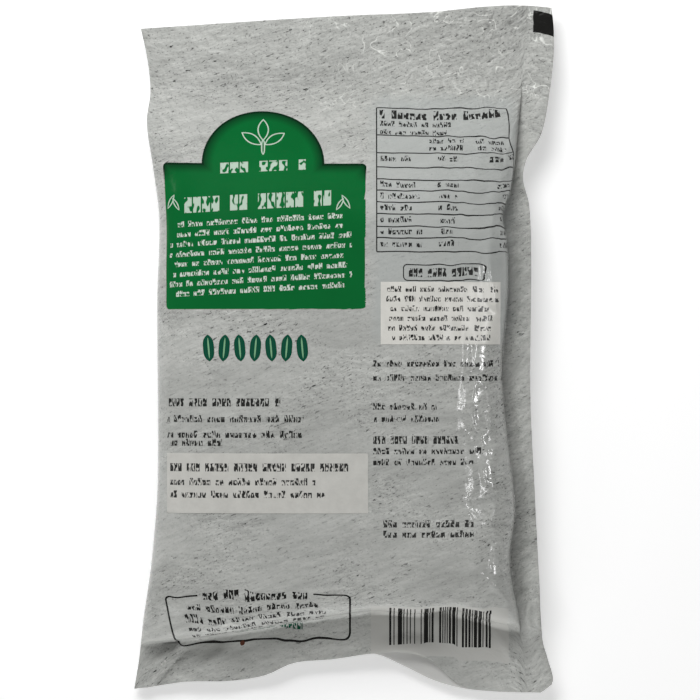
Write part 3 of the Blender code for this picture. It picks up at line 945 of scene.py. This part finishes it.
def print_motifs(w, u, v, colour):
    """The leaves and words on the panel, and the row of little gourds below it."""
    outlines = w.largest(leaf_outline(w, u, v, *leaf) for leaf in MOTIF_LEAVES)
    colour = w.mix(outlines, colour, PALE_PRINT)
    raised_v = w.minus(v, w.product(w.minus(u, BACK_PANEL[4]), WORD_SLOPE))
    colour = w.mix(words(w, u, raised_v, PANEL_HEADLINES), colour, PALE_PRINT)
    colour = w.mix(words(w, u, raised_v, PANEL_WORDS), colour, WHITE_PRINT)
    gourds = w.largest(w.call(SPINDLE, u, v, *gourd) for gourd in PRINTED_GOURDS)
    colour = w.mix(gourds, colour, TEAL)
    stripes = w.largest(w.call(SPINDLE, u, v, *stripe) for stripe in PRINTED_STRIPES)
    return w.mix(stripes, colour, PALE_GREEN)


def print_range_frame(w, u, v, colour):
    """The framed rows of print at the lower left, which slant where the film is pulled in."""
    below_top = w.math("MAXIMUM", w.minus(RANGE_FRAME[3], v), 0.0)
    pulled = w.product(below_top, w.ramp(u, -10.0, -70.0), RANGE_PULL)
    ripple = w.centred(w.noise(w.vector(u, v), 0.07, 1.0))
    u, v = w.minus(u, pulled), w.total(v, w.product(ripple, RANGE_RIPPLE))
    edge = w.call(ROUNDED_BOX, u, v, *RANGE_FRAME)
    line = w.product(line_at(w, edge, RANGE_LINE), w.minus(1.0, w.call(BOX, u, v, *RANGE_GAP)))
    colour = w.mix(line, colour, INK)
    colour = w.mix(words(w, u, v, RANGE_WORDS), colour, INK)
    return w.mix(words(w, u, v, GREEN_WORDS), colour, TEAL)


def table_lines():
    """The printed table's rules, as boxes in flat millimetres."""
    rows = [(TABLE_LEFT, TABLE_RIGHT, level - TABLE_LINE, level + TABLE_LINE)
            for level in TABLE_LEVELS]
    sides = [(place - TABLE_LINE, place + TABLE_LINE, TABLE_LEVELS[-1], TABLE_LEVELS[0])
             for place in (TABLE_LEFT, TABLE_RIGHT)]
    return rows + sides


def print_table(w, u, v, colour):
    """The ruled table and the framed badge below it, rippled towards the right shoulder."""
    ripple = w.centred(w.noise(w.vector(u, v), 0.11, 1.0))
    near_edge = w.ramp(u, 30.0, 66.0)
    sideways = w.product(ripple, near_edge, 4.0)
    upwards = w.product(ripple, w.total(0.25, near_edge), 4.5)
    u, v = w.total(u, sideways), w.total(v, upwards)
    rules = w.largest(w.call(BOX, u, v, *line) for line in table_lines())
    colour = in_ink(w, rules, colour)
    colour = in_ink(w, words(w, u, v, TABLE_WORDS), colour)
    badge = w.call(ROUNDED_BOX, u, v, *ORIGIN_BADGE)
    return w.mix(line_at(w, badge, BADGE_LINE), colour, INK)


def print_codes(w, u, v, colour):
    """The stamped dots, the pale box of meaningless bars and the dark square at the corner."""
    steps = [w.math("FRACT", w.product(place, DOTS_IN_MM)) for place in (u, v)]
    dots = w.product(*[w.math("LESS_THAN", step, DOT_WIDTH) for step in steps])
    colour = w.mix(w.product(words(w, u, v, DOTTED_WORDS), dots), colour, INK)
    colour = w.mix(w.call(BOX, u, v, *CODE_BOX), colour, CODE_WHITE)
    bar_number = w.math("FLOOR", w.product(u, BARS_IN_MM))
    bars = w.math("GREATER_THAN", w.random(w.vector(bar_number, BAR_SEED)), BAR_GAPS)
    colour = w.mix(w.product(w.call(BOX, u, v, *CODE_BARS), bars), colour, INK)
    return w.mix(w.call(BOX, u, v, *EYE_MARK), colour, INK)


def film_material(name, add_print):
    """The film's outer face. One side's print at a time, because a shader that holds all of it
    doesn't render."""
    made, w, shader = new_material(name)
    u, v = flat_place(w)
    w.feed(shader.inputs["Base Color"], add_print(w, u, v, film_ground(w, u, v)))
    shader.inputs["Roughness"].default_value = 0.14
    shader.inputs["Specular IOR Level"].default_value = 0.2
    crinkle_bump(w, shader, u, v, 1.0)
    return made


def back_left_print(w, u, v, colour):
    colour = print_motifs(w, u, v, print_panel(w, u, v, BACK_PANEL, colour))
    colour = in_ink(w, words(w, u, v, LEFT_WORDS), colour)
    colour = print_range_frame(w, u, v, colour)
    return w.mix(w.call(SPINDLE, u, v, *SPECK), colour, SPECK_COLOUR)


def back_right_print(w, u, v, colour):
    print_u = shrunk_right(w, u, v)
    colour = print_table(w, print_u, v, colour)
    colour = in_ink(w, words(w, print_u, v, RIGHT_WORDS), colour)
    return print_codes(w, u, v, colour)


def front_print(w, u, v, colour):
    return print_panel(w, u, v, FRONT_PANEL, colour)


def plain_film():
    made, w, shader = new_material("Film inside")
    soft = w.noise(w.vector(*flat_place(w)), 0.06, 3.0)
    tone = w.total(0.94, w.product(soft, 0.12))
    w.feed(shader.inputs["Base Color"], tinted(w, tone, INSIDE_COLOUR))
    shader.inputs["Roughness"].default_value = 0.35
    return made


def sticker_material(name, colour, roughness, blocks):
    made, w, shader = new_material(name)
    u, v = flat_place(w)
    fibre = w.centred(w.noise(w.vector(u, v), 1.4, 2.0))
    broad = w.centred(w.noise(w.vector(u, v), 0.16, 4.0, 0.65))
    tone = w.total(1.0, w.total(w.product(fibre, 0.06), w.product(broad, 0.36)))
    base = tinted(w, tone, colour)
    print_mask = words(w, shrunk_right(w, u, v), v, blocks)
    w.feed(shader.inputs["Base Color"], w.mix(print_mask, base, INK))
    shader.inputs["Roughness"].default_value = roughness
    crinkle_bump(w, shader, u, v, 0.25)
    return made


def gourd_material():
    """Green skin with pale stripes that run along the bag, as most of the gourds do."""
    made, w, shader = new_material("Gourd skin")
    place = w.add("ShaderNodeTexCoord").outputs["Object"]
    split = w.add("ShaderNodeSeparateXYZ")
    w.feed(split.inputs[0], place)
    x, y, z = [w.product(split.outputs[k], scale) for k, scale in enumerate((900.0, 60.0, 900.0))]
    stripes = w.ramp(w.noise(w.vector(x, y, z), 1.0, 3.0), 0.52, 0.64)
    w.feed(shader.inputs["Base Color"], w.mix(stripes, SKIN_GREEN, STRIPE_GREEN))
    shader.inputs["Roughness"].default_value = 0.42
    return made


def add_light(name, place, size_x, size_y, power, is_gloss):
    """An area light aimed at the bag, which lights it or is mirrored in it, not both."""
    lamp = bpy.data.lights.new(name, "AREA")
    lamp.shape = "RECTANGLE"
    lamp.size = size_x
    lamp.size_y = size_y
    lamp.energy = power
    light = bpy.data.objects.new(name, lamp)
    light.location = place
    light.rotation_euler = (-Vector(place)).to_track_quat("-Z", "Y").to_euler()
    light.visible_glossy = is_gloss
    light.visible_diffuse = not is_gloss
    bpy.context.scene.collection.objects.link(light)


def make_floor():
    bpy.ops.mesh.primitive_plane_add(size=FLOOR_SIZE, location=(0, 0, -FLOOR_DROP))
    floor = bpy.context.object
    floor.name = "floor"
    made, w, shader = new_material("Floor")
    grain = w.noise(w.add("ShaderNodeTexCoord").outputs["Object"], 3.0, 2.0)
    tone = w.total(0.84, w.product(grain, 0.02))
    w.feed(shader.inputs["Base Color"], tinted(w, tone, FLOOR_WHITE))
    shader.inputs["Roughness"].default_value = 0.9
    shader.inputs["Emission Color"].default_value = (1.0, 1.0, 1.0, 1.0)
    shader.inputs["Emission Strength"].default_value = 0.36
    floor.data.materials.append(made)


def make_camera():
    lens = bpy.data.cameras.new("camera")
    lens.sensor_width = SENSOR
    lens.lens = SENSOR * (CAMERA_PLACE[2] - SEAM_HEIGHT) / FIELD
    lens.clip_start = 0.1
    camera = bpy.data.objects.new("camera", lens)
    camera.location = CAMERA_PLACE
    bpy.context.scene.collection.objects.link(camera)
    bpy.context.scene.camera = camera


def make_lights():
    for light in LIGHTS:
        add_light(*light)
    for number in range(SIDE_WINDOWS):
        angle = math.radians(360 * (number + 0.5) / SIDE_WINDOWS)
        place = (WINDOW_REACH * math.cos(angle), WINDOW_REACH * math.sin(angle), WINDOW_HEIGHT)
        add_light(f"side window {number + 1}", place, *SIDE_WINDOW)
    world = bpy.data.worlds.new("studio")
    world.use_nodes = True
    background = world.node_tree.nodes["Background"]
    background.inputs["Color"].default_value = (1, 1, 1, 1)
    background.inputs["Strength"].default_value = WORLD_STRENGTH
    bpy.context.scene.world = world
    bpy.context.scene.view_settings.view_transform = "Standard"


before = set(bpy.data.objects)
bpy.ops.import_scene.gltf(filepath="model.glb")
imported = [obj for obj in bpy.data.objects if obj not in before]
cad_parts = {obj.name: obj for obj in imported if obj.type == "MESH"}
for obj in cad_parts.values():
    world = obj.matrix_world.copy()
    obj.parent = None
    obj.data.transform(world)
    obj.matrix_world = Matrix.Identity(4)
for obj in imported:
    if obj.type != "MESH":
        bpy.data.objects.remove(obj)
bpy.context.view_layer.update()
ROUNDED_BOX, BOX, SPINDLE = rounded_box_group(), box_group(), spindle_group()
WORDS, PLASTER = words_group(), plaster_group()

web = make_web()
inside = plain_film()
film_faces = [film_material("Back print right", back_right_print), inside,
              film_material("Back print left", back_left_print), inside,
              film_material("Front print", front_print), inside]
film = add_piece("film", web, film_faces, FILM)
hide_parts("film_bag")

importer_paper = sticker_material("Importer sticker", IMPORTER_COLOUR, 0.32, IMPORTER_WORDS)
cooking_paper = sticker_material("Cooking sticker", COOKING_COLOUR, 0.55, COOKING_WORDS)
make_sticker("importer_sticker", "importer_label", IMPORTER_SIDES, web, importer_paper)
make_sticker("cooking_sticker", "cooking_label", COOKING_SIDES, web, cooking_paper)
skin = gourd_material()
for name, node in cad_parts.items():
    if name.startswith("ivy_gourd"):
        node.data.materials.clear()
        node.data.materials.append(skin)
        node.data.shade_smooth()

make_floor()
make_camera()
make_lights()
